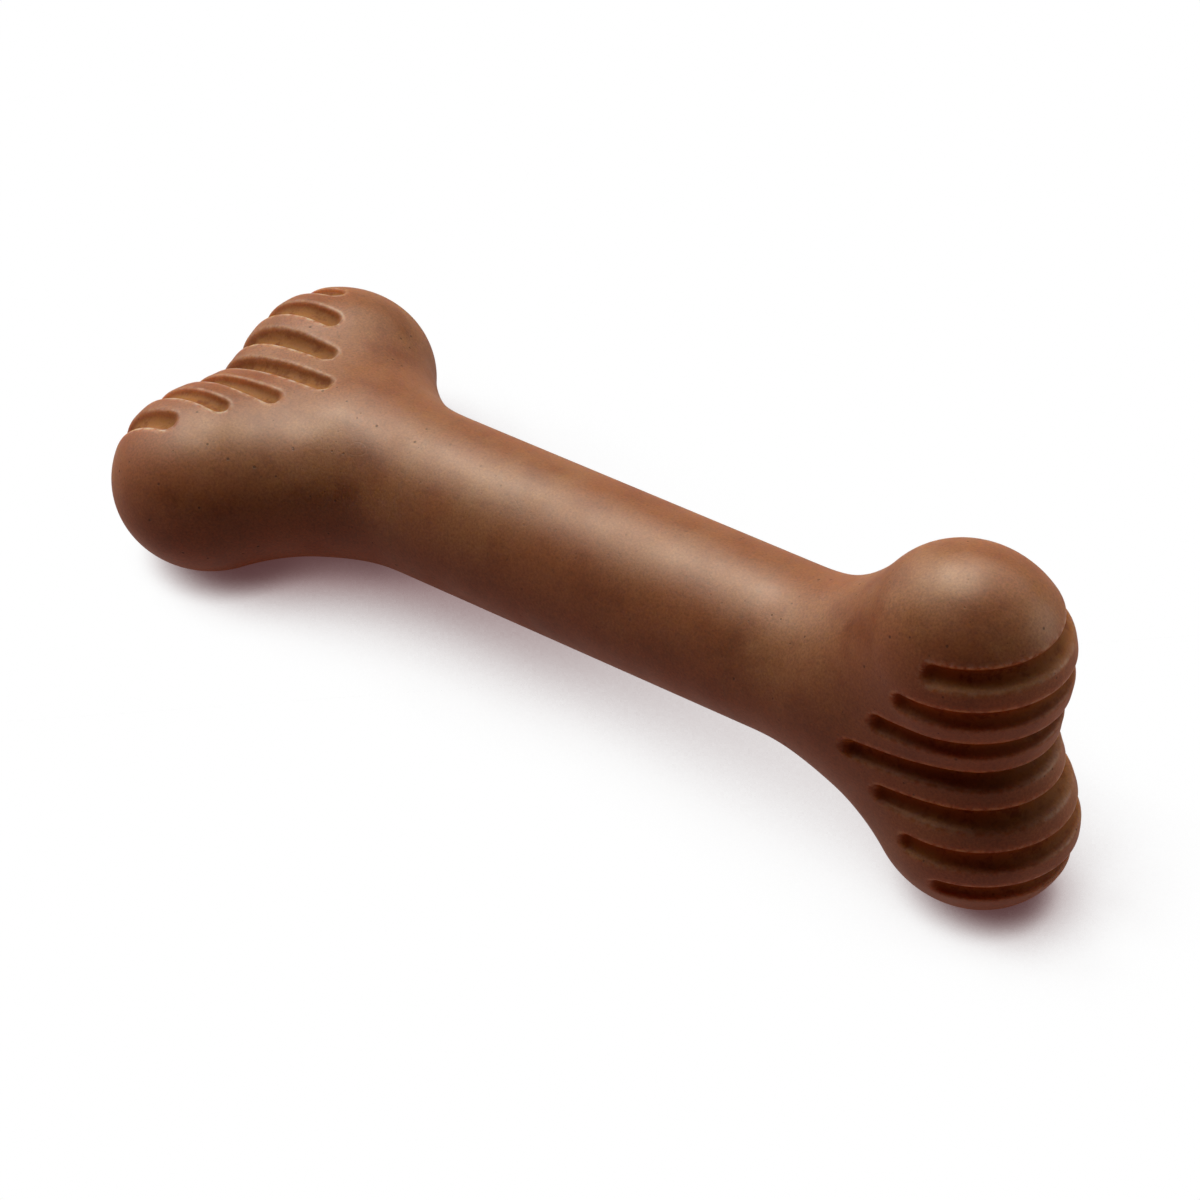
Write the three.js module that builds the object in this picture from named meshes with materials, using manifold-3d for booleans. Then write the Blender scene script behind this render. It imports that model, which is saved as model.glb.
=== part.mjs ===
// A bone-shaped chew toy for a dog: a round shaft with a grooved, two-lobed knuckle on each end.
// Both knuckles have one shape. They sit on the shaft's square tenons a quarter turn apart, one
// flat and one upright, so the toy lies on three lobes: both lobes of the flat knuckle and the
// lower lobe of the upright one. Nothing moves.
// Millimetres, +Z up, X along the toy from the flat knuckle to the upright one. The origin is on
// the ground, under the middle of the toy.

import * as THREE from "three";
import { mergeVertices } from "three/addons/utils/BufferGeometryUtils.js";
import Module from "manifold-3d";

const wasm = await Module();
wasm.setup();

// The bone as a whole
const LOBE_PLANE_SPAN = 133; // from the lobe centres of one knuckle to those of the other
const SHAFT_DIAMETER = 26;

// A knuckle forks into two limbs, and each limb swells into a lobe
const LOBE_DIAMETER = 31.8;
const LOBE_SPACING = 29.9; // between the centres of a knuckle's two lobes
const KNUCKLE_THICKNESS = 28.2; // the lobes are a little flatter than they are round
const FORK_SETBACK = 19.7; // from the lobe centres back to the fork
const FORK_DIAMETER = 19.5; // of each limb, where it leaves the fork
const CLEFT_BLEND = 15.9; // depth over which the two limbs melt together
const CLEFT_EASE = 2; // the higher, the more gently that blend sets in
const NECK_BLEND = 6.1; // depth over which the limbs melt into the shaft
const NECK_EASE = 3;
const COLLAR_LENGTH = 15; // from the fork back to where the knuckle is as round as the shaft

// Grooves run round the tip from one flat side to the other, the outer ones shorter
const GROOVE_COUNT = 7;
const GROOVE_PITCH = 6.65;
const GROOVE_WIDTH = 3.2;
const GROOVE_DEPTH = 1.4;
const MIDDLE_GROOVE_SETBACK = 13.4; // from the lobe centres back to the middle groove's end
const GROOVE_STAGGER = 4.85; // each groove ends this much nearer the tip than the one inside it

// The square tenon and socket set the quarter turn between the knuckles
const TENON_SHOULDER = 3.1; // least width of the shoulder, at the tenon's corners
const TENON_LENGTH = 20;
const FIT_CLEARANCE = 0.3; // on every side of the tenon, at its end and at the shoulder

// Fineness of the surfaces
const SKIN_SIDES = 40; // round the axis, a multiple of four, so that both knuckles meet the shaft alike
const SKIN_RINGS = 28; // from the tip to the neck
const GROOVE_END_STEPS = 6;
const SKIN_TOLERANCE = 1e-5;
const SKIN_STEPS = 400;
const PITCH_HALVINGS = 40;

const SHAFT_RADIUS = SHAFT_DIAMETER / 2;
const LOBE_RADIUS = LOBE_DIAMETER / 2;
const LOBE_OFFSET = LOBE_SPACING / 2;
const FORK_RADIUS = FORK_DIAMETER / 2;
const FLATNESS = KNUCKLE_THICKNESS / LOBE_DIAMETER;
const NECK_SETBACK = FORK_SETBACK + COLLAR_LENGTH;
const TENON_SIDE = (SHAFT_DIAMETER - 2 * TENON_SHOULDER) / Math.SQRT2;
const SHAFT_LENGTH = LOBE_PLANE_SPAN - 2 * (NECK_SETBACK + FIT_CLEARANCE);
const TENON_SPAN = SHAFT_LENGTH + 2 * TENON_LENGTH;
const REACH = NECK_SETBACK + LOBE_SPACING + LOBE_DIAMETER; // well outside a knuckle's skin
const QUARTER_TURN = Math.PI / 2;
const HALF_TURN = Math.PI;

const nylon = new THREE.MeshStandardMaterial({ color: 0x7a4a33, roughness: 0.45, metalness: 0 });

// Distances to the skin. A knuckle has x towards its tip, y from lobe to lobe and z through its
// thickness, from the middle of its lobe centres.

// The lesser of two distances, rounded off where they are alike to within the blend
function blendedLeast(a, b, blend, ease) {
  const likeness = Math.max(blend - Math.abs(a - b), 0) / blend;
  return Math.min(a, b) - (likeness ** ease * blend) / (2 * ease);
}

// Distance to a limb: a ball at the fork and a ball at the lobe, joined by the cone that touches both
function limbDistance(point) {
  const length = Math.hypot(FORK_SETBACK, LOBE_OFFSET);
  const slope = (LOBE_RADIUS - FORK_RADIUS) / length;
  const rise = Math.sqrt(1 - slope * slope);
  const fromForkX = point.x + FORK_SETBACK;
  const along = (fromForkX * FORK_SETBACK + point.y * LOBE_OFFSET) / length;
  const across = Math.sqrt(Math.max(fromForkX ** 2 + point.y ** 2 + point.z ** 2 - along ** 2, 0));
  const touch = along + (across * slope) / rise;
  if (touch < 0) return Math.hypot(along, across) - FORK_RADIUS;
  if (touch > length) return Math.hypot(along - length, across) - LOBE_RADIUS;
  return across * rise - along * slope - FORK_RADIUS;
}

// Distance to the shaft's end inside the knuckle, which is round
function shaftEndDistance(point) {
  const pastFork = Math.max(point.x + FORK_SETBACK, 0);
  return Math.hypot(pastFork, point.y, point.z) - SHAFT_RADIUS;
}

function skinDistance(point) {
  const limbPoint = new THREE.Vector3(point.x, point.y, point.z / FLATNESS);
  const oneLimb = limbDistance(limbPoint);
  limbPoint.y = -limbPoint.y;
  const fork = blendedLeast(oneLimb, limbDistance(limbPoint), CLEFT_BLEND, CLEFT_EASE);
  return blendedLeast(shaftEndDistance(point), fork, NECK_BLEND, NECK_EASE);
}

// Radius of the skin in one direction from the middle of the knuckle, met from outside
function skinRadius(direction, inset) {
  const stride = Math.min(FLATNESS, 1);
  let radius = REACH;
  for (let step = 0; step < SKIN_STEPS; step += 1) {
    const gap = skinDistance(direction.clone().multiplyScalar(radius)) + inset;
    if (gap < SKIN_TOLERANCE) break;
    radius -= gap * stride;
  }
  return radius;
}

// The knuckle without grooves: a lathed form from the tip to the neck's flat face, with every ring
// but the rim of the neck drawn in to the skin. An inset makes the same form that much smaller.
function knuckleForm(inset) {
  const rimRadius = SHAFT_RADIUS - inset;
  const rimSetback = (NECK_SETBACK * rimRadius) / SHAFT_RADIUS;
  const rimAngle = HALF_TURN - Math.atan2(rimRadius, rimSetback);
  const profile = [new THREE.Vector2(0, -rimSetback), new THREE.Vector2(rimRadius, -rimSetback)];
  const firstSkinRing = profile.length;
  for (let ring = SKIN_RINGS - 1; ring >= 0; ring -= 1) {
    const angle = (rimAngle * ring) / SKIN_RINGS;
    profile.push(new THREE.Vector2(Math.sin(angle), Math.cos(angle)));
  }
  const form = new THREE.LatheGeometry(profile, SKIN_SIDES).rotateZ(-QUARTER_TURN);
  const position = form.attributes.position;
  const direction = new THREE.Vector3();
  for (let index = 0; index < position.count; index += 1) {
    if (index % profile.length < firstSkinRing) continue;
    direction.fromBufferAttribute(position, index).normalize();
    const radius = skinRadius(direction, inset);
    position.setXYZ(index, direction.x * radius, direction.y * radius, direction.z * radius);
  }
  return form;
}

// The slot that a groove is cut from, right through the thickness, with a round end
function grooveSlot(placesFromMiddle) {
  const halfWidth = GROOVE_WIDTH / 2;
  const end = GROOVE_STAGGER * Math.abs(placesFromMiddle) - MIDDLE_GROOVE_SETBACK;
  const plan = new THREE.Shape();
  plan.moveTo(REACH, -halfWidth);
  plan.lineTo(REACH, halfWidth);
  plan.lineTo(end + halfWidth, halfWidth);
  plan.absarc(end + halfWidth, 0, halfWidth, QUARTER_TURN, -QUARTER_TURN, false);
  const slot = new THREE.ExtrudeGeometry(plan, {
    depth: 2 * REACH,
    curveSegments: GROOVE_END_STEPS,
    bevelEnabled: false,
  });
  return slot.translate(0, placesFromMiddle * GROOVE_PITCH, -REACH);
}

// The square socket, open at the neck
function socketCut() {
  const side = TENON_SIDE + 2 * FIT_CLEARANCE;
  const depth = TENON_LENGTH; // the shoulder's clearance draws the tenon back by the same amount
  const mouth = SHAFT_RADIUS;
  return new THREE.BoxGeometry(depth + mouth, side, side).translate((depth - mouth) / 2 - NECK_SETBACK, 0, 0);
}

// Solids

function solidOf(geometry) {
  const bare = geometry.clone();
  bare.deleteAttribute("normal");
  bare.deleteAttribute("uv");
  const merged = mergeVertices(bare);
  const corners = merged.index.array;
  const triangles = [];
  for (let first = 0; first < corners.length; first += 3) {
    const triangle = Array.from(corners.slice(first, first + 3));
    if (new Set(triangle).size === triangle.length) triangles.push(...triangle);
  }
  return new wasm.Manifold(
    new wasm.Mesh({
      numProp: 3,
      vertProperties: merged.attributes.position.array,
      triVerts: new Uint32Array(triangles),
    }),
  );
}

function knuckleSolid() {
  const underGrooves = solidOf(knuckleForm(GROOVE_DEPTH));
  let knuckle = solidOf(knuckleForm(0)).subtract(solidOf(socketCut()));
  for (let number = 0; number < GROOVE_COUNT; number += 1) {
    const slot = solidOf(grooveSlot(number - (GROOVE_COUNT - 1) / 2));
    knuckle = knuckle.subtract(slot.subtract(underGrooves));
  }
  return knuckle;
}

function shaftSolid() {
  const barrel = new THREE.CylinderGeometry(SHAFT_RADIUS, SHAFT_RADIUS, SHAFT_LENGTH, SKIN_SIDES);
  const tenons = new THREE.BoxGeometry(TENON_SPAN, TENON_SIDE, TENON_SIDE);
  return solidOf(barrel.rotateZ(-QUARTER_TURN)).add(solidOf(tenons));
}

function pieceOf(name, solid) {
  const { vertProperties, triVerts } = solid.getMesh();
  const geometry = new THREE.BufferGeometry();
  geometry.setAttribute("position", new THREE.BufferAttribute(vertProperties, 3));
  geometry.setIndex(new THREE.BufferAttribute(triVerts, 1));
  geometry.computeVertexNormals();
  const piece = new THREE.Mesh(geometry, nylon);
  piece.name = name;
  return piece;
}

// The three pieces along the bone's own axis

const knuckle = knuckleSolid();
const shaft = pieceOf("shaft", shaftSolid());

const flatKnuckle = pieceOf("flat_knuckle", knuckle);
flatKnuckle.position.x = -LOBE_PLANE_SPAN / 2;
flatKnuckle.rotation.z = HALF_TURN;

const uprightKnuckle = pieceOf("upright_knuckle", knuckle);
uprightKnuckle.position.x = LOBE_PLANE_SPAN / 2;
uprightKnuckle.rotation.x = QUARTER_TURN;

const bone = new THREE.Group();
bone.add(shaft, flatKnuckle, uprightKnuckle);

// The bone as it lies: pitched up until both knuckles touch the ground, then centred over the origin

function boxOf(object) {
  bone.updateMatrixWorld(true);
  return new THREE.Box3().setFromObject(object, true);
}

function restingPitch() {
  let low = 0;
  let high = QUARTER_TURN / 2;
  for (let halving = 0; halving < PITCH_HALVINGS; halving += 1) {
    const pitch = (low + high) / 2;
    bone.rotation.y = -pitch;
    if (boxOf(uprightKnuckle).min.z < boxOf(flatKnuckle).min.z) low = pitch;
    else high = pitch;
  }
  return (low + high) / 2;
}

bone.rotation.y = -restingPitch();
const lyingBox = boxOf(bone);
const middle = lyingBox.getCenter(new THREE.Vector3());
bone.position.set(-middle.x, -middle.y, -lyingBox.min.z);

const toy = new THREE.Group();
toy.add(bone);

export default toy;
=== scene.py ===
"""Looks of a bone-shaped chew toy: its fine skin, its brown nylon and a plain studio round it.

The file is laid out as an add-on, with the sizes and colours in the sidebar, and is run as a script.
Lengths are in metres, in the frame of the solids: X along the toy, Z up, the ground at zero.
"""

import math

import bpy
import numpy as np
from bpy.props import FloatProperty, FloatVectorProperty, IntProperty, PointerProperty
from mathutils import Matrix, Vector


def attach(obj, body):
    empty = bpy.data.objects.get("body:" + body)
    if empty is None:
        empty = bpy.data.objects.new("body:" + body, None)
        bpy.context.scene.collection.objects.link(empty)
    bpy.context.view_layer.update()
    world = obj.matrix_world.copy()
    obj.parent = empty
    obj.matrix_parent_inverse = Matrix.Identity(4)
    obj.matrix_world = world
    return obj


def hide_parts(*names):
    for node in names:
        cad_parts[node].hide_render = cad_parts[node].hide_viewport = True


bl_info = {
    "name": "Chew Bone",
    "version": (1, 0, 0),
    "blender": (4, 5, 0),
    "location": "View3D > Sidebar > Chew Bone",
    "description": "Makes the skin, the finish and the studio of a bone-shaped chew toy",
    "category": "Object",
}

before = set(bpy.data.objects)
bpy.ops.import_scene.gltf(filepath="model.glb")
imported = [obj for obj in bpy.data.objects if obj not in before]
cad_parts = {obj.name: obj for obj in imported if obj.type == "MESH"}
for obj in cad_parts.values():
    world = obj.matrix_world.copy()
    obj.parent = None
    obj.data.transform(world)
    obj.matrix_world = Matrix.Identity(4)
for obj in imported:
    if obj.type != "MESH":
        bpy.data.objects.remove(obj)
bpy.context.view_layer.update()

BODY = "root"

# Lamps: azimuth, elevation and width in degrees, and strength
LAMPS = {
    "key": (244.0, 64.0, 42.0, 2.15),
    "side": (271.0, 46.0, 45.0, 1.25),
    "behind": (226.0, 46.0, 40.0, 0.6),
    "back": (182.0, 46.0, 45.0, 0.72),
    "low": (262.0, 14.0, 50.0, 0.6),
    "rim": (134.0, 14.0, 45.0, 0.7),
}

# The floor, the heights between which the white horizon fades, and rays for each look at the open sky
WHITE = (1.0, 1.0, 1.0)
FLOOR_HALF = 4.0
HORIZON_RANGE = (0.04, 0.2)
SHADOW_SAMPLES = 16

# Nearest point that the camera sees, as a share of its distance
NEAREST_SEEN = 0.01

# Fineness of the skin
HALVINGS = 42
SLICE_POINTS = 210
SLICE_TRIAL_POINTS = 600
GROOVE_WALL_COLUMNS = 8
RIB_COLUMNS = 6
COLUMN_CROWDING = 2.2
POLE_COLUMNS = 26
CUT_COLUMNS = 9
CUT_COLUMN_TURN = math.radians(2.2)
LEAST_COLUMN_GAP = 2e-5
NECK_ROWS = 26
SHAFT_SIDES = 192
SHAFT_ROWS = 60
SHARP_ANGLE = math.radians(70)
FRAME_DIGITS = 6

# Noises in the nylon: features to the metre, and the values between which a patch fades in
CLOUDS = {"scale": 48.0, "detail": 4.0, "low": 0.4, "high": 0.66}
STAINS = {"scale": 110.0, "detail": 5.0, "roughness": 0.62, "low": 0.48, "high": 0.7}
PIT_PATCHES = {"scale": 95.0, "detail": 3.0, "low": 0.42, "high": 0.58}
SCRATCH_PATCHES = {"scale": 110.0, "detail": 2.0, "low": 0.56, "high": 0.66}
NICKS = {"scale": 900.0, "detail": 4.0, "low": 0.4, "high": 0.58}
DIRT = {"scale": 330.0, "detail": 5.0, "roughness": 0.7, "low": 0.5, "high": 0.62}

# Noises that are used whole, the values between which nearly all of a noise lies, and its middle one
GRAIN = {"scale": 2600.0, "detail": 3.0, "roughness": 0.65}
GLOSS_CLOUDS = {"scale": 170.0, "detail": 4.0}
WAVES = {"scale": 260.0, "detail": 2.0}
WANDER = {"scale": 75.0, "detail": 1.0}
NOISE_ROUGHNESS = 0.55
NOISE_RANGE = (0.3, 0.7)
NOISE_MIDDLE = 0.5
SCRATCH_HALF_WIDTH = 0.004

# Pits in the nylon: cells to the metre, the share of cells with none, and the largest radius in cells
SPECKS = {"scale": 560.0, "rarity": 0.35, "size": 0.17}
FINE_PITS = {"scale": 1300.0, "rarity": 0.6, "size": 0.3}
PIT_SLOPE = 1 / 3
SHAFT_SPECKS = 0.5

# How strongly each of them shows in the colour, the roughness and the height
GRAIN_SHADES = (0.72, 1.28)
STAIN_COLOUR = 0.6
SPECK_COLOUR = 0.85
FINE_PIT_COLOUR = 0.3
SCRATCH_COLOUR = 0.4
# Painted glow: how strongly the lighter, more orange groove colour shows, in place of light bounced in the
# grooves and shining through the nylon
PAINTED_GROOVE_GLOW = 0.7
DIRT_COLOUR = 0.7
# The pale edge line is wear and partly a painted highlight of the edges catching light
WORN_AND_HIGHLIGHT_COLOUR = 0.9
CLOUD_ROUGHNESS = 0.06
PIT_ROUGHNESS = 0.2
GROOVE_ROUGHNESS = 0.25
PIT_DEPTH = 1.5
SCRATCH_DEPTH = 0.4

# How strong the pale edge line, wear and partly a painted highlight, is on the fainter edge of a groove
# beside the other
FAR_EDGE_PALE_SHARE = 0.25

# How glossy a groove is beside the skin, and the share of its depth at which it is
GROOVE_GLOSS = 0.15
GROOVE_GLOSS_DEPTH = 0.5

# Where the tip's deeper glow sets in, from the neck, as a share of the fork's setback
TIP_GLOW_START = 0.5

# Sockets of a Mix node that mixes colours, which share their names with those for numbers
MIX_FIRST = 6
MIX_SECOND = 7
MIX_RESULT = 2


# Properties


def length(name, description, default):
    """A size in metres."""
    return FloatProperty(
        name=name, description=description, default=default, min=0.0, unit="LENGTH", precision=5
    )


def amount(name, description, default):
    """A plain number from zero up."""
    return FloatProperty(name=name, description=description, default=default, min=0.0)


def share(name, description, default):
    """A plain number from zero to one."""
    return FloatProperty(name=name, description=description, default=default, min=0.0, max=1.0)


def colour(name, description, default):
    """A colour in linear light."""
    return FloatVectorProperty(
        name=name, description=description, default=default, size=3, min=0.0, max=1.0, subtype="COLOR"
    )


def angle(name, description, degrees):
    """An angle, written in degrees."""
    return FloatProperty(name=name, description=description, default=math.radians(degrees), subtype="ANGLE")


class BoneSizes(bpy.types.PropertyGroup):
    """Sizes of the bone, the same as those of its solids."""

    shaft_diameter: length("Shaft Diameter", "Across the round shaft", 0.026)
    lobe_plane_span: length("Lobe Plane Span", "From the lobe centres of one knuckle to the other's", 0.133)
    lobe_diameter: length("Lobe Diameter", "Across one lobe", 0.0318)
    lobe_spacing: length("Lobe Spacing", "Between the centres of a knuckle's two lobes", 0.0299)
    knuckle_thickness: length("Knuckle Thickness", "Through a knuckle at its lobes", 0.0282)
    fork_setback: length("Fork Setback", "From the lobe centres back to where the limbs fork", 0.0197)
    fork_diameter: length("Fork Diameter", "Across a limb where it leaves the fork", 0.0195)
    cleft_blend: length("Cleft Blend", "Depth over which the two limbs melt together", 0.0159)
    cleft_ease: amount("Cleft Ease", "The higher, the more gently that blend sets in", 2.0)
    neck_blend: length("Neck Blend", "Depth over which the limbs melt into the shaft", 0.0061)
    neck_ease: amount("Neck Ease", "The higher, the more gently that blend sets in", 3.0)
    collar_length: length("Collar Length", "From the fork back to where a knuckle is round", 0.015)
    groove_count: IntProperty(name="Grooves", description="Grooves round each tip", default=7, min=1)
    groove_pitch: length("Groove Pitch", "From one groove to the next", 0.00665)
    groove_bit: length("Groove Bit", "Diameter of the round groove bottom", 0.0032)
    groove_depth: length("Groove Depth", "Depth below the skin", 0.0014)
    groove_edge: length("Groove Edge", "Softness of the groove's edges", 0.0007)
    wear_width: length("Wear Width", "Width of the pale line along a groove's edge", 0.0004)
    middle_groove_setback: length("Middle Groove Setback", "From the lobe centres to its end", 0.0134)
    groove_stagger: length("Groove Stagger", "How much sooner each next groove ends", 0.00485)
    tenon_shoulder: length("Tenon Shoulder", "Least width of the shoulder round the tenon", 0.0031)
    tenon_length: length("Tenon Length", "Depth of the square socket", 0.02)
    fit_clearance: length("Fit Clearance", "Round the tenon and at its end", 0.0003)


class BoneFinish(bpy.types.PropertyGroup):
    """Colours and gloss of the nylon."""

    body: colour("Body", "Main brown", (0.232, 0.081, 0.0293))
    pale: colour("Pale", "Paler mottling", (0.257, 0.113, 0.0465))
    deep: colour("Deep", "Darker mottling and dirt", (0.135, 0.031, 0.008))
    # Painted glow: a lighter, more orange colour for the groove bottoms, in place of light bounced in the
    # grooves and shining through the nylon
    groove: colour("Groove", "Inside the grooves", (0.285, 0.115, 0.03))
    # Pale edge line: wear, and partly a painted highlight where the groove edges catch light
    edge: colour("Edge", "Worn groove edges", (0.5, 0.42, 0.34))
    speck: colour("Speck", "Dark specks", (0.06, 0.016, 0.005))
    roughness: share("Roughness", "Roughness of the satin skin", 0.4)
    specular: share("Specular", "Strength of the gloss", 0.55)
    gloss_tint: colour("Gloss Tint", "Tint of the gloss", (1.0, 0.84, 0.64))
    grain: length("Grain Height", "Height of the moulded grain", 0.000018)
    translucency: share("Translucency", "How much light goes into the nylon", 1.0)
    glow: colour("Glow", "How far each colour of light goes in", (1.0, 0.56, 0.13))
    glow_depth: length("Glow Depth", "How far red light goes into the shaft and the necks", 0.0012)
    tip_glow_depth: length("Tip Glow Depth", "How far red light goes into the tips", 0.006)


class BoneStudio(bpy.types.PropertyGroup):
    """Camera and light."""

    azimuth: angle("Azimuth", "Round from the front", 36.8)
    elevation: angle("Elevation", "Above the ground", 43.6)
    roll: angle("Roll", "About the line of sight", 1.62)
    distance: length("Distance", "From the camera to the target", 0.6917)
    target: FloatVectorProperty(
        name="Target",
        description="Point that the camera looks at",
        default=(0.0023, -0.0059, 0.0223),
        unit="LENGTH",
    )
    lens: FloatProperty(name="Lens", description="Focal length in millimetres", default=138.79)
    sky: amount("Sky", "Light from above", 0.02)
    floor: colour("Floor", "White floor", (1.0, 1.0, 1.0))
    # The floor's shadow and contact are painted from how much open sky it has, not cast by the lamps
    shadow: colour("Shadow", "Floor in the wide shadow round the toy", (0.278, 0.169, 0.17))
    shadow_reach: length("Shadow Reach", "How near the toy must be to make the wide shadow", 0.055)
    shadow_start: share("Shadow Start", "Share of open sky at which the wide shadow is darkest", 0.26)
    shadow_end: share("Shadow End", "Share of open sky at which the wide shadow ends", 0.77)
    contact: colour("Contact", "What the contact leaves of the floor's light", (0.347, 0.247, 0.249))
    contact_reach: length("Contact Reach", "How near the toy must be to make the dark contact", 0.006)
    contact_start: share("Contact Start", "Share of open sky at which the contact is darkest", 0.25)
    contact_end: share("Contact End", "Share of open sky at which the contact ends", 0.93)
    shadow_azimuth: angle("Shadow Azimuth", "Side of the floor's light, round from the front", 295.0)
    shadow_elevation: angle("Shadow Elevation", "Height of the floor's light above the ground", 50.0)
    # Painted bounce: the floor glows this colour for the light it gives back
    bounce: colour("Bounce", "Light that the floor gives back", (0.4, 0.107, 0.02))
    mirrored: share("Mirrored", "How white the surroundings are in the gloss", 0.24)


def add_lamp_settings():
    """Gives the studio the settings of each lamp."""
    for name, (azimuth, elevation, width, strength) in LAMPS.items():
        title = name.title()
        BoneStudio.__annotations__.update({
            name + "_azimuth": angle(title + " Azimuth", "Round from the front", azimuth),
            name + "_elevation": angle(title + " Elevation", "Above the ground", elevation),
            name + "_width": angle(title + " Width", "How wide the lamp looks", width),
            name + "_strength": amount(title + " Strength", "Strength of the lamp", strength),
        })


add_lamp_settings()


# The knuckle's form


def blended_least(a, b, blend, ease=2.0):
    """The lesser of two distances, rounded off where they are alike to within the blend."""
    likeness = np.maximum(blend - np.abs(a - b), 0.0) / blend
    return np.minimum(a, b) - likeness**ease * blend / (2 * ease)


def ray_length(outside, shape, far):
    """Length at which each of many rays leaves the bone, found by halving."""
    low = np.zeros(shape)
    high = np.full(shape, far)
    for _ in range(HALVINGS):
        middle = (low + high) / 2
        out = outside(middle)
        high = np.where(out, middle, high)
        low = np.where(out, low, middle)
    return (low + high) / 2


def graded(count, crowding):
    """Shares from 0 to 1, crowded towards 0."""
    return np.expm1(crowding * np.linspace(0.0, 1.0, count + 1)) / math.expm1(crowding)


class KnuckleForm:
    """A knuckle as distances to its skin.

    From the middle of the lobe centres, u runs to the tip, v from lobe to lobe and w through the thickness.
    """

    def __init__(self, sizes):
        self.sizes = sizes
        self.shaft_radius = sizes.shaft_diameter / 2
        self.lobe_radius = sizes.lobe_diameter / 2
        self.lobe_offset = sizes.lobe_spacing / 2
        self.fork_radius = sizes.fork_diameter / 2
        self.flatness = sizes.knuckle_thickness / sizes.lobe_diameter
        self.neck = sizes.fork_setback + sizes.collar_length
        self.bit_radius = sizes.groove_bit / 2
        self.groove_half = math.sqrt(self.bit_radius**2 - (self.bit_radius - sizes.groove_depth) ** 2)
        self.last_groove = (sizes.groove_count - 1) / 2
        self.reach = 2 * (self.lobe_offset + self.lobe_radius)

    def limb(self, u, v, w):
        """Distance to the limb on the +v side: a ball at the fork, a ball at the lobe and their cone."""
        setback, offset = self.sizes.fork_setback, self.lobe_offset
        span = math.hypot(setback, offset)
        slope = (self.lobe_radius - self.fork_radius) / span
        rise = math.sqrt(1 - slope * slope)
        along = ((u + setback) * setback + v * offset) / span
        across = np.sqrt(np.maximum((u + setback) ** 2 + v * v + w * w - along * along, 0.0))
        touch = along + across * slope / rise
        at_fork = np.hypot(along, across) - self.fork_radius
        at_lobe = np.hypot(along - span, across) - self.lobe_radius
        at_cone = across * rise - along * slope - self.fork_radius
        return np.where(touch < 0, at_fork, np.where(touch > span, at_lobe, at_cone))

    def skin(self, u, v, w):
        """Distance to the skin without its grooves."""
        sizes = self.sizes
        past_fork = np.maximum(u + sizes.fork_setback, 0.0)
        shaft = np.sqrt(past_fork**2 + v * v + w * w) - self.shaft_radius
        thick = w / self.flatness
        one_limb, other_limb = self.limb(u, v, thick), self.limb(u, -v, thick)
        fork = blended_least(one_limb, other_limb, sizes.cleft_blend, sizes.cleft_ease)
        return blended_least(shaft, fork, sizes.neck_blend, sizes.neck_ease)

    def nearest_groove(self, v):
        """Number of the nearest groove, from the middle one, and the offset from its middle."""
        place = np.clip(np.round(v / self.sizes.groove_pitch), -self.last_groove, self.last_groove)
        return place, v - place * self.sizes.groove_pitch

    def groove(self, u, v, skin):
        """Distance to the round bit that cut the nearest groove."""
        place, aside = self.nearest_groove(v)
        end = self.sizes.groove_stagger * np.abs(place) - self.sizes.middle_groove_setback + self.bit_radius
        before = np.maximum(end - u, 0.0)
        lift = skin + self.sizes.groove_depth - self.bit_radius
        return np.sqrt(aside * aside + before * before + lift * lift) - self.bit_radius

    def grooved(self, u, v, w):
        """Distance to the skin with its grooves."""
        skin = self.skin(u, v, w)
        return -blended_least(-skin, self.groove(u, v, skin), self.sizes.groove_edge)

    def worn_and_highlit_edge(self, u, v, skin):
        """How much pale line the skin has beside the grooves' edges, wear and partly a painted highlight,
        most on the side towards the first lobe.
        """
        width = self.sizes.wear_width
        off_edge = (self.groove(u, v, skin) - width / 2) / width
        beside = np.exp(-(off_edge**2)) * np.clip(1 + skin / width, 0.0, 1.0)
        _, aside = self.nearest_groove(v)
        return beside * np.where(aside > 0, 1.0, FAR_EDGE_PALE_SHARE)

    def masks(self, u, v, w):
        """How far each point is in a groove, on a worn edge with its painted highlight and out at the tip,
        from 0 to 1.
        """
        skin = self.skin(u, v, w)
        return {
            "groove": np.clip(-skin / self.sizes.groove_depth, 0.0, 1.0),
            "edge": self.worn_and_highlit_edge(u, v, skin),
            "tip": np.clip((u + self.neck) / self.sizes.fork_setback - TIP_GLOW_START, 0.0, 1.0),
        }


def square_ring(angles, half_side):
    """Points of a square at these angles, the nearest ones to its corners moved into them."""
    ring = np.stack([np.cos(angles), np.sin(angles)], axis=1)
    ring *= half_side / np.abs(ring).max(axis=1, keepdims=True)
    for corner in half_side * np.array([(1, 1), (-1, 1), (-1, -1), (1, -1)]):
        ring[np.argmin(np.linalg.norm(ring - corner, axis=1))] = corner
    return ring


def placed_ring(along, across):
    """A ring of points in space from its place along the bone and its points across it."""
    return np.column_stack([np.full(len(across), along), across])


def ring_faces(first, second):
    """Four-sided faces between two closed rings of vertex numbers."""
    ahead, second_ahead = np.roll(first, -1), np.roll(second, -1)
    return np.column_stack([first, ahead, second_ahead, second]).tolist()


def fan_faces(ring, centre):
    """Three-sided faces from a closed ring of vertex numbers to one vertex."""
    return np.column_stack([ring, np.roll(ring, -1), np.full(len(ring), centre)]).tolist()


class Skin:
    """Points and faces of one piece while it is made."""

    def __init__(self):
        self.points = np.zeros((0, 3))
        self.faces = []

    def add(self, points):
        """Adds points and gives their numbers."""
        points = np.atleast_2d(points)
        numbers = np.arange(len(points)) + len(self.points)
        self.points = np.concatenate([self.points, points])
        return numbers


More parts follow.
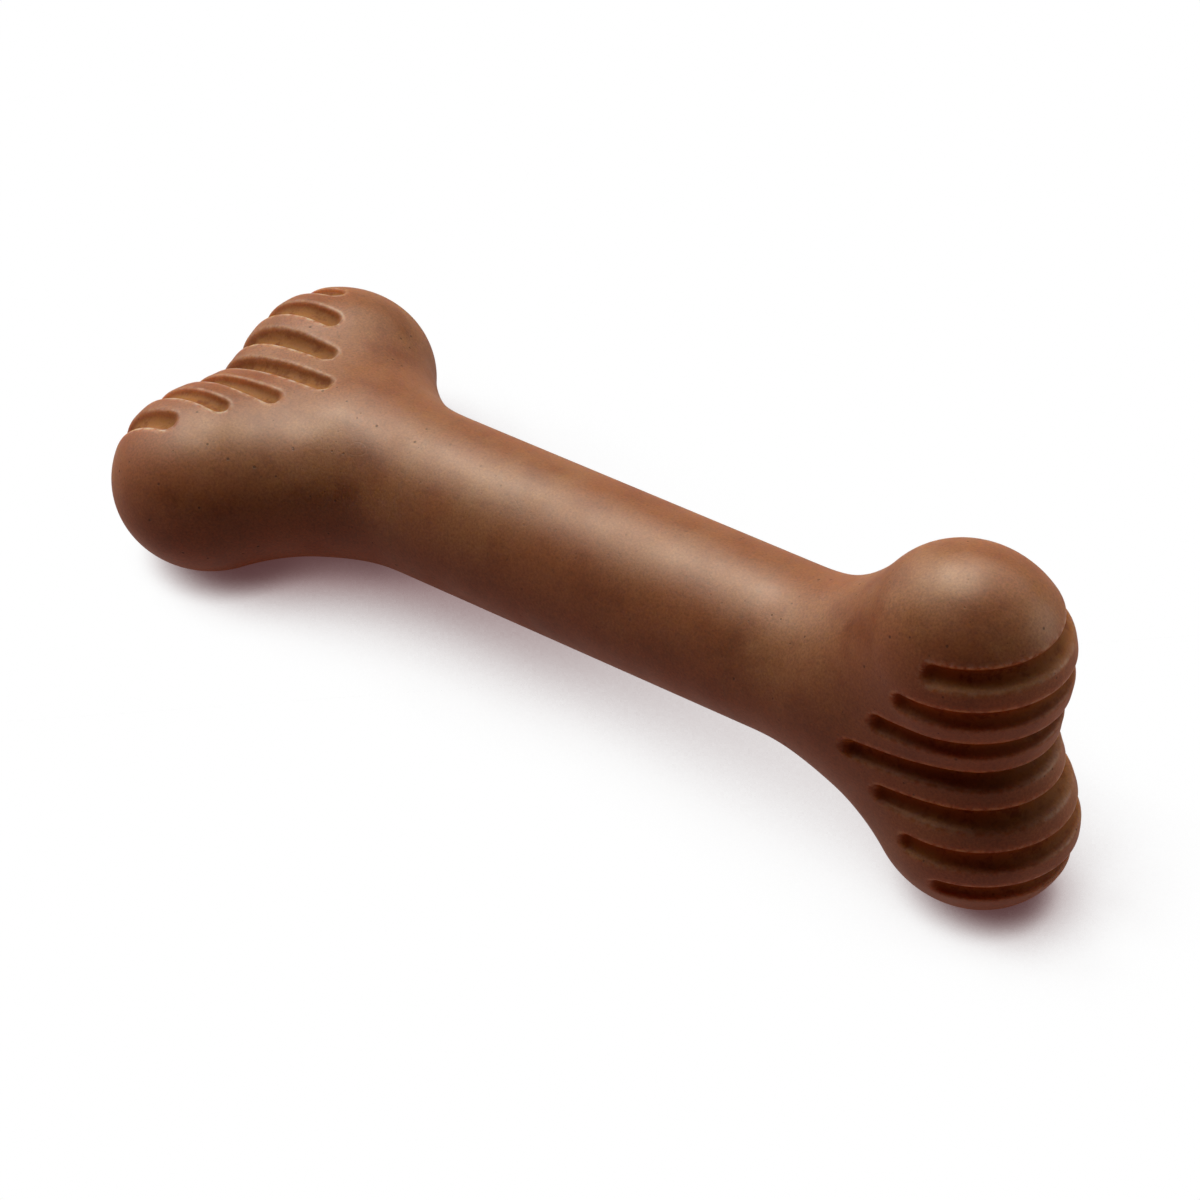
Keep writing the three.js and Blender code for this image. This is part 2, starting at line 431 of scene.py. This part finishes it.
def slice_columns(form, cut_width):
    """Places of the slices from lobe to lobe: close at groove edges, at the cut's sides and at the poles."""
    pitch = form.sizes.groove_pitch
    wall = form.groove_half * (1 - graded(GROOVE_WALL_COLUMNS, COLUMN_CROWDING))
    rib = form.groove_half + (pitch / 2 - form.groove_half) * graded(RIB_COLUMNS, COLUMN_CROWDING)
    across = np.concatenate([wall, rib, -wall, -rib])
    places = np.arange(form.sizes.groove_count) - form.last_groove
    grooves = (places[:, None] * pitch + across).ravel()
    first_latitude = math.asin((grooves.max() - form.lobe_offset) / form.lobe_radius)
    latitudes = np.linspace(first_latitude, math.pi / 2, POLE_COLUMNS + 1)
    poles = form.lobe_offset + form.lobe_radius * np.sin(latitudes)
    sides = cut_width * np.cos(np.arange(CUT_COLUMNS) * CUT_COLUMN_TURN)
    sides = np.concatenate([sides, -sides])
    others = np.concatenate([grooves, poles, -poles])
    clear = np.abs(others[:, None] - sides).min(axis=1) > LEAST_COLUMN_GAP
    columns = np.sort(np.concatenate([others[clear], sides]))
    return columns[np.concatenate([[True], np.diff(columns) > LEAST_COLUMN_GAP / 2])]


def slice_points(form, columns, cut, is_open):
    """Points of each slice, from the cut on one side round the tip to the cut on the other.

    A slice that lies wholly in front of the cut closes on itself behind the lobe.
    """
    depth = ray_length(lambda w: form.skin(-cut, columns, w) > 0, columns.shape, form.reach)
    turn = np.where(is_open, np.arctan2(depth, -cut), math.pi)[:, None]
    v = columns[:, None]

    def leave(distance, angles):
        return ray_length(
            lambda far: distance(far * np.cos(angles), v, far * np.sin(angles)) > 0, angles.shape, form.reach
        )

    trial = turn * np.linspace(-1, 1, SLICE_TRIAL_POINTS)
    far = leave(form.skin, trial)
    steps = np.hypot(np.diff(far * np.cos(trial)), np.diff(far * np.sin(trial)))
    along = np.concatenate([np.zeros_like(v), np.cumsum(steps, axis=1)], axis=1)
    even = along[:, -1:] * np.linspace(0, 1, SLICE_POINTS)
    angles = np.array([np.interp(e, a, t) for e, a, t in zip(even, along, trial)])
    far = leave(form.grooved, angles)
    return np.stack([far * np.cos(angles), np.broadcast_to(v, far.shape), far * np.sin(angles)], axis=-1)


def tip_skin(skin, form, cut):
    """The grooved part in front of the cut. Gives the closed ring of vertex numbers on the cut."""
    cut_width = float(ray_length(lambda v: form.skin(-cut, v, 0.0) > 0, (), form.reach))
    columns = slice_columns(form, cut_width)
    is_open = np.abs(columns) < cut_width - LEAST_COLUMN_GAP / 4
    points = slice_points(form, columns, cut, is_open)
    numbers = skin.add(points.reshape(-1, 3)).reshape(points.shape[:2])
    numbers[~is_open, -1] = numbers[~is_open, 0]
    numbers[[0, -1]] = numbers[[0, -1], :1]
    for near, far in zip(numbers[:-1], numbers[1:]):
        for corners in np.column_stack([near[:-1], far[:-1], far[1:], near[1:]]).tolist():
            skin.faces.append(list(dict.fromkeys(corners)))
    first, last = np.flatnonzero(is_open)[[0, -1]]
    upper = numbers[first - 1 : last + 1, -1]
    lower = numbers[first : last + 2, 0][::-1]
    return np.concatenate([upper, lower])


def neck_skin(skin, form, ring, cut):
    """The part from the cut back to the neck. Gives the ring on the neck and its angles."""
    angles = np.arctan2(skin.points[ring, 2], skin.points[ring, 1])
    cosines, sines = np.cos(angles), np.sin(angles)
    for place in np.linspace(cut, form.neck, NECK_ROWS + 1)[1:]:
        radius = ray_length(lambda r: form.skin(-place, r * cosines, r * sines) > 0, angles.shape, form.reach)
        across = np.column_stack([radius * cosines, radius * sines])
        row = skin.add(placed_ring(-place, across))
        skin.faces += ring_faces(ring, row)
        ring = row
    return ring, angles


def square_end(skin, rim, angles, half_side, from_place, to_place):
    """A flat face with a square tenon or socket in it, from its rim to its end."""
    square = square_ring(angles, half_side)
    mouth = skin.add(placed_ring(from_place, square))
    end = skin.add(placed_ring(to_place, square))
    centre = skin.add((to_place, 0.0, 0.0))[0]
    skin.faces += ring_faces(rim, mouth) + ring_faces(mouth, end) + fan_faces(end, centre)


def tenon_half_side(sizes):
    """Half the side of the square tenon."""
    return (sizes.shaft_diameter / 2 - sizes.tenon_shoulder) / math.sqrt(2)


def knuckle_skin(form):
    """The skin of a knuckle, with its grooves and its socket."""
    sizes = form.sizes
    cut = sizes.middle_groove_setback + form.bit_radius
    skin = Skin()
    ring = tip_skin(skin, form, cut)
    rim, angles = neck_skin(skin, form, ring, cut)
    socket_half = tenon_half_side(sizes) + sizes.fit_clearance
    square_end(skin, rim, angles, socket_half, -form.neck, sizes.tenon_length - form.neck)
    return skin


def shaft_skin(sizes):
    """The skin of the shaft, with a tenon on each end."""
    radius = sizes.shaft_diameter / 2
    half = sizes.lobe_plane_span / 2 - sizes.fork_setback - sizes.collar_length
    tenon_end = half + sizes.tenon_length - sizes.fit_clearance
    angles = np.linspace(0, 2 * math.pi, SHAFT_SIDES, endpoint=False)
    circle = radius * np.column_stack([np.cos(angles), np.sin(angles)])
    skin = Skin()
    rows = [skin.add(placed_ring(place, circle)) for place in np.linspace(-half, half, SHAFT_ROWS)]
    for ring, row in zip(rows[:-1], rows[1:]):
        skin.faces += ring_faces(ring, row)
    square_end(skin, rows[-1], angles, tenon_half_side(sizes), half, tenon_end)
    square_end(skin, rows[0][::-1], angles[::-1], tenon_half_side(sizes), -half, -tenon_end)
    return skin


# Pieces


def bone_matrix():
    """From the bone's own axes, with x along its shaft, to the frame."""
    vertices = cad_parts["shaft"].data.vertices
    points = np.unique(np.array([vertex.co for vertex in vertices]).round(FRAME_DIGITS), axis=0)
    middle = (points.min(axis=0) + points.max(axis=0)) / 2
    ahead = points[points[:, 0] > middle[0]].mean(axis=0)
    behind = points[points[:, 0] < middle[0]].mean(axis=0)
    pitch = math.atan2(ahead[2] - behind[2], ahead[0] - behind[0])
    return Matrix.Translation(middle) @ Matrix.Rotation(-pitch, 4, "Y")


def make_piece(name, node, skin, place, masks, material):
    """A piece that stands for a node of the frame."""
    mesh = bpy.data.meshes.new(name)
    used, renumbered = np.unique(np.concatenate([np.ravel(face) for face in skin.faces]), return_inverse=True)
    ends = np.cumsum([len(face) for face in skin.faces])
    faces = [part.tolist() for part in np.split(renumbered, ends[:-1])]
    mesh.from_pydata(skin.points[used], [], faces)
    mesh.transform(place)
    mesh.shade_smooth()
    mesh.set_sharp_from_angle(angle=SHARP_ANGLE)
    for label, values in masks.items():
        layer = mesh.attributes.new(label, "FLOAT", "POINT")
        layer.data.foreach_set("value", values[used].astype(np.float32))
    mesh.materials.append(material)
    if mesh.validate():
        raise RuntimeError(f"the skin of {name} has faulty faces")
    piece = bpy.data.objects.new(name, mesh)
    bpy.context.scene.collection.objects.link(piece)
    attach(piece, BODY)
    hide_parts(node)


# Nodes


class Desk:
    """Adds nodes to one tree and joins them."""

    def __init__(self, tree):
        self.tree = tree

    def add(self, kind, inputs=None, **settings):
        """A node with its settings, and with values or links for its inputs."""
        node = self.tree.nodes.new(kind)
        for name, value in settings.items():
            setattr(node, name, value)
        for name, value in (inputs or {}).items():
            self.feed(node.inputs[name], value)
        return node

    def feed(self, socket, value):
        """Links or sets one input."""
        if isinstance(value, bpy.types.NodeSocket):
            self.tree.links.new(value, socket)
        else:
            socket.default_value = value

    def place(self):
        """The place on the toy."""
        return self.add("ShaderNodeTexCoord").outputs["Object"]

    def mask(self, label):
        """A value that the mesh gives for each of its points."""
        return self.add("ShaderNodeAttribute", attribute_name=label).outputs["Fac"]

    def noise(self, place, scale, detail, roughness=NOISE_ROUGHNESS):
        """A soft noise of this many features to the metre."""
        inputs = {"Vector": place, "Scale": scale, "Detail": detail, "Roughness": roughness}
        return self.add("ShaderNodeTexNoise", inputs).outputs["Fac"]

    def stretch(self, value, low, high, to_low=0.0, to_high=1.0):
        """The value's range from low to high, clamped, as another range."""
        inputs = {"Value": value, "From Min": low, "From Max": high, "To Min": to_low, "To Max": to_high}
        return self.add("ShaderNodeMapRange", inputs).outputs["Result"]

    def patches(self, place, low, high, **noise):
        """Patches that fade in where a noise goes from low to high."""
        return self.stretch(self.noise(place, **noise), low, high)

    def work(self, operation, first, second):
        """What an operation makes of two values."""
        return self.add("ShaderNodeMath", {0: first, 1: second}, operation=operation).outputs[0]

    def times(self, first, second):
        """The product of two values."""
        return self.work("MULTIPLY", first, second)

    def mix(self, factor, first, second, blend="MIX"):
        """A mix of two colours."""
        node = self.add("ShaderNodeMix", data_type="RGBA", blend_type=blend)
        self.feed(node.inputs["Factor"], factor)
        self.feed(node.inputs[MIX_FIRST], first)
        self.feed(node.inputs[MIX_SECOND], second)
        return node.outputs[MIX_RESULT]


def opaque(values):
    """A colour with its alpha."""
    return (*values, 1.0)


NYLON_COLOURS = ("Body", "Pale", "Deep", "Speck")
NYLON_INPUTS = {**dict.fromkeys(NYLON_COLOURS, "Color"), "Roughness": "Float", "Specks": "Float"}
NYLON_OUTPUTS = {"Colour": "Color", "Roughness": "Float", "Height": "Float"}


def new_group(name, inputs, outputs):
    """An empty node group with these sockets, its desk and what it is given."""
    tree = bpy.data.node_groups.new(name, "ShaderNodeTree")
    for label, kind in inputs.items():
        tree.interface.new_socket(label, in_out="INPUT", socket_type="NodeSocket" + kind)
    for label, kind in outputs.items():
        tree.interface.new_socket(label, in_out="OUTPUT", socket_type="NodeSocket" + kind)
    desk = Desk(tree)
    return tree, desk, desk.add("NodeGroupInput").outputs


def pits(desk, place, scale, rarity, size):
    """Round pits in some of the cells of a random pattern, 1 at their middles and 0 outside."""
    cells = desk.add("ShaderNodeTexVoronoi", {"Vector": place, "Scale": scale})
    chance = desk.add("ShaderNodeSeparateColor", {"Color": cells.outputs["Color"]}).outputs["Red"]
    reach = desk.stretch(chance, rarity, 1.0, 0.0, size)
    inside = desk.work("SUBTRACT", reach, cells.outputs["Distance"])
    return desk.stretch(inside, 0.0, size * PIT_SLOPE)


def scratches(desk, place):
    """Short thin lines that wander over the skin, where a wandering noise passes its middle value."""
    off_middle = desk.work("SUBTRACT", desk.noise(place, **WANDER), NOISE_MIDDLE)
    thin = desk.stretch(desk.work("ABSOLUTE", off_middle, 0.0), 0.0, SCRATCH_HALF_WIDTH, 1.0, 0.0)
    return desk.times(thin, desk.patches(place, **SCRATCH_PATCHES))


def nylon_group():
    """The moulded nylon: mottling, grain, pits and scratches, from a place on the toy."""
    tree, desk, given = new_group("moulded_nylon", NYLON_INPUTS, NYLON_OUTPUTS)
    place = desk.place()
    clouds = desk.patches(place, **CLOUDS)
    stains = desk.patches(place, **STAINS)
    grain = desk.noise(place, **GRAIN)
    specks = desk.times(pits(desk, place, **SPECKS), given["Specks"])
    fine_pits = desk.times(pits(desk, place, **FINE_PITS), desk.patches(place, **PIT_PATCHES))
    dark = desk.work("MAXIMUM", desk.times(specks, SPECK_COLOUR), desk.times(fine_pits, FINE_PIT_COLOUR))
    lines = scratches(desk, place)

    shade = desk.mix(clouds, given["Body"], given["Pale"])
    shade = desk.mix(desk.times(stains, STAIN_COLOUR), shade, given["Deep"])
    shade = desk.mix(1.0, shade, desk.stretch(grain, *NOISE_RANGE, *GRAIN_SHADES), "MULTIPLY")
    shade = desk.mix(dark, shade, given["Speck"])
    shade = desk.mix(desk.times(lines, SCRATCH_COLOUR), shade, given["Pale"])

    rough = desk.noise(place, **GLOSS_CLOUDS)
    rough = desk.stretch(rough, *NOISE_RANGE, -CLOUD_ROUGHNESS, CLOUD_ROUGHNESS)
    rough = desk.work("ADD", rough, given["Roughness"])
    rough = desk.work("ADD", rough, desk.times(dark, PIT_ROUGHNESS))
    height = desk.work("ADD", grain, desk.noise(place, **WAVES))
    height = desk.work("SUBTRACT", height, desk.times(dark, PIT_DEPTH))
    height = desk.work("SUBTRACT", height, desk.times(lines, SCRATCH_DEPTH))
    desk.add("NodeGroupOutput", {"Colour": shade, "Roughness": rough, "Height": height})
    return tree


def painted_light_and_wear_in_grooves(desk, finish, shade, rough):
    """The colour, roughness, gloss and glow: duller groove bottoms in a painted glow for light bounced and
    shining through there, and pale, nicked edges, worn and partly a painted highlight.
    """
    groove, edge, tip = desk.mask("groove"), desk.mask("edge"), desk.mask("tip")
    place = desk.place()
    dirt = desk.times(groove, desk.patches(place, **DIRT))
    nicks = desk.times(edge, desk.patches(place, **NICKS))
    # Painted glow: the groove bottoms lighter and more orange, for light bounced in them and shining through
    # the nylon
    shade = desk.mix(desk.times(groove, PAINTED_GROOVE_GLOW), shade, opaque(finish.groove))
    shade = desk.mix(desk.times(dirt, DIRT_COLOUR), shade, opaque(finish.deep))
    # Pale nicked edge line: wear, and partly a painted highlight of the edges catching light
    shade = desk.mix(desk.times(nicks, WORN_AND_HIGHLIGHT_COLOUR), shade, opaque(finish.edge))
    rough = desk.work("ADD", rough, desk.times(groove, GROOVE_ROUGHNESS))
    dull = finish.specular * GROOVE_GLOSS
    gloss = desk.stretch(groove, 0.0, GROOVE_GLOSS_DEPTH, finish.specular, dull)
    glow = desk.stretch(tip, 0.0, 1.0, finish.glow_depth, finish.tip_glow_depth)
    return shade, rough, gloss, glow


def nylon_material(name, finish, with_grooves):
    """Brown nylon, a little translucent, with worn grooves, a painted glow in their bottoms and painted
    highlights on their edges, where the piece has grooves.
    """
    material = bpy.data.materials.new(name)
    material.use_nodes = True
    material.node_tree.nodes.clear()
    desk = Desk(material.node_tree)
    group = bpy.data.node_groups.get("moulded_nylon") or nylon_group()
    nylon = desk.add("ShaderNodeGroup", node_tree=group)
    for label in NYLON_COLOURS:
        desk.feed(nylon.inputs[label], opaque(getattr(finish, label.lower())))
    desk.feed(nylon.inputs["Roughness"], finish.roughness)
    desk.feed(nylon.inputs["Specks"], 1.0 if with_grooves else SHAFT_SPECKS)
    shade, rough = nylon.outputs["Colour"], nylon.outputs["Roughness"]
    gloss, glow = finish.specular, finish.glow_depth
    if with_grooves:
        shade, rough, gloss, glow = painted_light_and_wear_in_grooves(desk, finish, shade, rough)
    bump = desk.add("ShaderNodeBump", {"Height": nylon.outputs["Height"], "Distance": finish.grain})
    inputs = {"Base Color": shade, "Roughness": rough, "Normal": bump.outputs["Normal"]}
    shader = desk.add("ShaderNodeBsdfPrincipled", inputs)
    shader.inputs["Specular IOR Level"].default_value = finish.specular
    desk.feed(shader.inputs["Specular IOR Level"], gloss)
    shader.inputs["Specular Tint"].default_value = opaque(finish.gloss_tint)
    shader.inputs["Subsurface Weight"].default_value = finish.translucency
    shader.inputs["Subsurface Radius"].default_value = finish.glow
    desk.feed(shader.inputs["Subsurface Scale"], glow)
    desk.add("ShaderNodeOutputMaterial", {"Surface": shader.outputs[0]})
    return material


# Studio


def direction(azimuth, elevation):
    """Unit vector towards an azimuth round from the front and an elevation."""
    level = math.cos(elevation)
    return Vector((math.sin(azimuth) * level, -math.cos(azimuth) * level, math.sin(elevation)))


def seen_share(desk, mirrored):
    """How much of a surrounding a ray sees: all of it for the camera, a part of it in the gloss."""
    ray = desk.add("ShaderNodeLightPath").outputs
    seen = desk.work("MAXIMUM", ray["Is Camera Ray"], ray["Is Transmission Ray"])
    return desk.work("MAXIMUM", seen, desk.times(ray["Is Glossy Ray"], mirrored))


def floor_shadow(desk, towards, reach, ends, dark, pale):
    """A painted shadow: the floor between dark and pale by how much open sky it has within reach, and that
    open sky.
    """
    inputs = {"Normal": towards, "Distance": reach}
    sky = desk.add("ShaderNodeAmbientOcclusion", inputs, samples=SHADOW_SAMPLES).outputs["AO"]
    lit = desk.stretch(sky, *ends)
    lit.node.interpolation_type = "SMOOTHSTEP"
    return desk.mix(lit, opaque(dark), opaque(pale)), sky


def floor_material(studio):
    """White with a painted shadow for the camera, less so in the gloss, and a painted warm brown glow for the
    light it gives back.
    """
    material = bpy.data.materials.new("floor_white")
    material.use_nodes = True
    material.node_tree.nodes.clear()
    material.cycles.emission_sampling = "NONE"
    desk = Desk(material.node_tree)
    towards = direction(studio.shadow_azimuth, studio.shadow_elevation)
    towards = desk.add("ShaderNodeCombineXYZ", dict(zip("XYZ", towards))).outputs[0]
    ends = (studio.shadow_start, studio.shadow_end)
    wide, sky = floor_shadow(desk, towards, studio.shadow_reach, ends, studio.shadow, studio.floor)
    ends = (studio.contact_start, studio.contact_end)
    close, _ = floor_shadow(desk, towards, studio.contact_reach, ends, studio.contact, WHITE)
    pale = desk.mix(1.0, wide, close, "MULTIPLY")
    bounce = desk.mix(1.0, opaque(studio.bounce), sky, "MULTIPLY")
    shade = desk.mix(seen_share(desk, studio.mirrored), bounce, pale)
    shader = desk.add("ShaderNodeEmission", {"Color": shade})
    desk.add("ShaderNodeOutputMaterial", {"Surface": shader.outputs[0]})
    return material


def make_floor(studio):
    """The pale floor that the toy lies on."""
    corners = [(x * FLOOR_HALF, y * FLOOR_HALF, 0.0) for x, y in ((-1, -1), (1, -1), (1, 1), (-1, 1))]
    mesh = bpy.data.meshes.new("floor")
    mesh.from_pydata(corners, [], [tuple(range(len(corners)))])
    mesh.materials.append(floor_material(studio))
    floor = bpy.data.objects.new("floor", mesh)
    bpy.context.scene.collection.objects.link(floor)


def make_sky(studio):
    """Dim light from above, and a horizon that looks white."""
    world = bpy.data.worlds.new("studio_sky")
    world.use_nodes = True
    world.node_tree.nodes.clear()
    desk = Desk(world.node_tree)
    looking = desk.add("ShaderNodeTexCoord").outputs["Generated"]
    height = desk.add("ShaderNodeSeparateXYZ", {"Vector": looking}).outputs["Z"]
    horizon = desk.stretch(height, *HORIZON_RANGE, 1.0, 0.0)
    horizon = desk.times(horizon, seen_share(desk, studio.mirrored))
    shader = desk.add("ShaderNodeBackground", {"Strength": desk.work("MAXIMUM", horizon, studio.sky)})
    shader.inputs["Color"].default_value = opaque(WHITE)
    desk.add("ShaderNodeOutputWorld", {"Surface": shader.outputs[0]})
    bpy.context.scene.world = world


def make_lamp(studio, name):
    """A soft lamp of the studio, by its name there."""
    data = bpy.data.lights.new(name, "SUN")
    data.energy = getattr(studio, name + "_strength")
    data.angle = getattr(studio, name + "_width")
    lamp = bpy.data.objects.new(name, data)
    towards = direction(getattr(studio, name + "_azimuth"), getattr(studio, name + "_elevation"))
    lamp.rotation_mode = "QUATERNION"
    lamp.rotation_quaternion = towards.to_track_quat("Z", "Y")
    lamp.location = towards
    bpy.context.scene.collection.objects.link(lamp)


def make_camera(studio):
    """The camera at the photograph's viewing angle."""
    back = direction(studio.azimuth, studio.elevation)
    right = Vector((math.cos(studio.azimuth), math.sin(studio.azimuth), 0.0))
    turn = Matrix((right, back.cross(right), back)).transposed().to_4x4()
    camera = bpy.data.objects.new("camera", bpy.data.cameras.new("camera"))
    camera.data.lens = studio.lens
    camera.data.clip_start = studio.distance * NEAREST_SEEN
    place = Vector(studio.target) + back * studio.distance
    camera.matrix_world = Matrix.Translation(place) @ turn @ Matrix.Rotation(studio.roll, 4, "Z")
    bpy.context.scene.collection.objects.link(camera)
    bpy.context.scene.camera = camera


# Operators


class CHEWBONE_OT_shaft(bpy.types.Operator):
    """Make the round shaft with its square tenons"""

    bl_idname = "chewbone.shaft"
    bl_label = "Make Shaft"

    def execute(self, context):
        scene = context.scene
        material = nylon_material("shaft_nylon", scene.bone_finish, with_grooves=False)
        make_piece("nylon_shaft", "shaft", shaft_skin(scene.bone_sizes), bone_matrix(), {}, material)
        return {"FINISHED"}


class CHEWBONE_OT_knuckles(bpy.types.Operator):
    """Make the two grooved knuckles, a quarter turn apart"""

    bl_idname = "chewbone.knuckles"
    bl_label = "Make Knuckles"

    def execute(self, context):
        scene = context.scene
        material = nylon_material("knuckle_nylon", scene.bone_finish, with_grooves=True)
        form = KnuckleForm(scene.bone_sizes)
        skin = knuckle_skin(form)
        masks = form.masks(*skin.points.T)
        half_span = scene.bone_sizes.lobe_plane_span / 2
        flat = Matrix.Translation((-half_span, 0, 0)) @ Matrix.Rotation(math.pi, 4, "Z")
        upright = Matrix.Translation((half_span, 0, 0)) @ Matrix.Rotation(math.pi / 2, 4, "X")
        for node, turn in (("flat_knuckle", flat), ("upright_knuckle", upright)):
            make_piece("nylon_" + node, node, skin, bone_matrix() @ turn, masks, material)
        return {"FINISHED"}


class CHEWBONE_OT_studio(bpy.types.Operator):
    """Make the floor, the light and the camera"""

    bl_idname = "chewbone.studio"
    bl_label = "Make Studio"

    def execute(self, context):
        studio = context.scene.bone_studio
        context.scene.view_settings.view_transform = "Standard"
        make_floor(studio)
        make_sky(studio)
        for lamp in LAMPS:
            make_lamp(studio, lamp)
        make_camera(studio)
        return {"FINISHED"}


class CHEWBONE_PT_panel(bpy.types.Panel):
    """Sizes, colours and steps of the chew bone"""

    bl_label = "Chew Bone"
    bl_idname = "CHEWBONE_PT_panel"
    bl_space_type = "VIEW_3D"
    bl_region_type = "UI"
    bl_category = "Chew Bone"

    def draw(self, context):
        for group, title in (("bone_sizes", "Sizes"), ("bone_finish", "Finish"), ("bone_studio", "Studio")):
            box = self.layout.box()
            box.label(text=title)
            settings = getattr(context.scene, group)
            for name in settings.__annotations__:
                box.prop(settings, name)
        for operator in OPERATORS:
            self.layout.operator(operator.bl_idname)


OPERATORS = (CHEWBONE_OT_shaft, CHEWBONE_OT_knuckles, CHEWBONE_OT_studio)
CLASSES = (BoneSizes, BoneFinish, BoneStudio, *OPERATORS, CHEWBONE_PT_panel)
SETTINGS = {"bone_sizes": BoneSizes, "bone_finish": BoneFinish, "bone_studio": BoneStudio}


def register():
    """Adds the classes and the scene's settings."""
    for made in CLASSES:
        bpy.utils.register_class(made)
    for name, group in SETTINGS.items():
        setattr(bpy.types.Scene, name, PointerProperty(type=group))


def unregister():
    """Takes them away again."""
    for name in SETTINGS:
        delattr(bpy.types.Scene, name)
    for made in reversed(CLASSES):
        bpy.utils.unregister_class(made)


def main():
    """Makes the whole scene."""
    register()
    bpy.ops.chewbone.shaft()
    bpy.ops.chewbone.knuckles()
    bpy.ops.chewbone.studio()


if __name__ == "__main__":
    main()
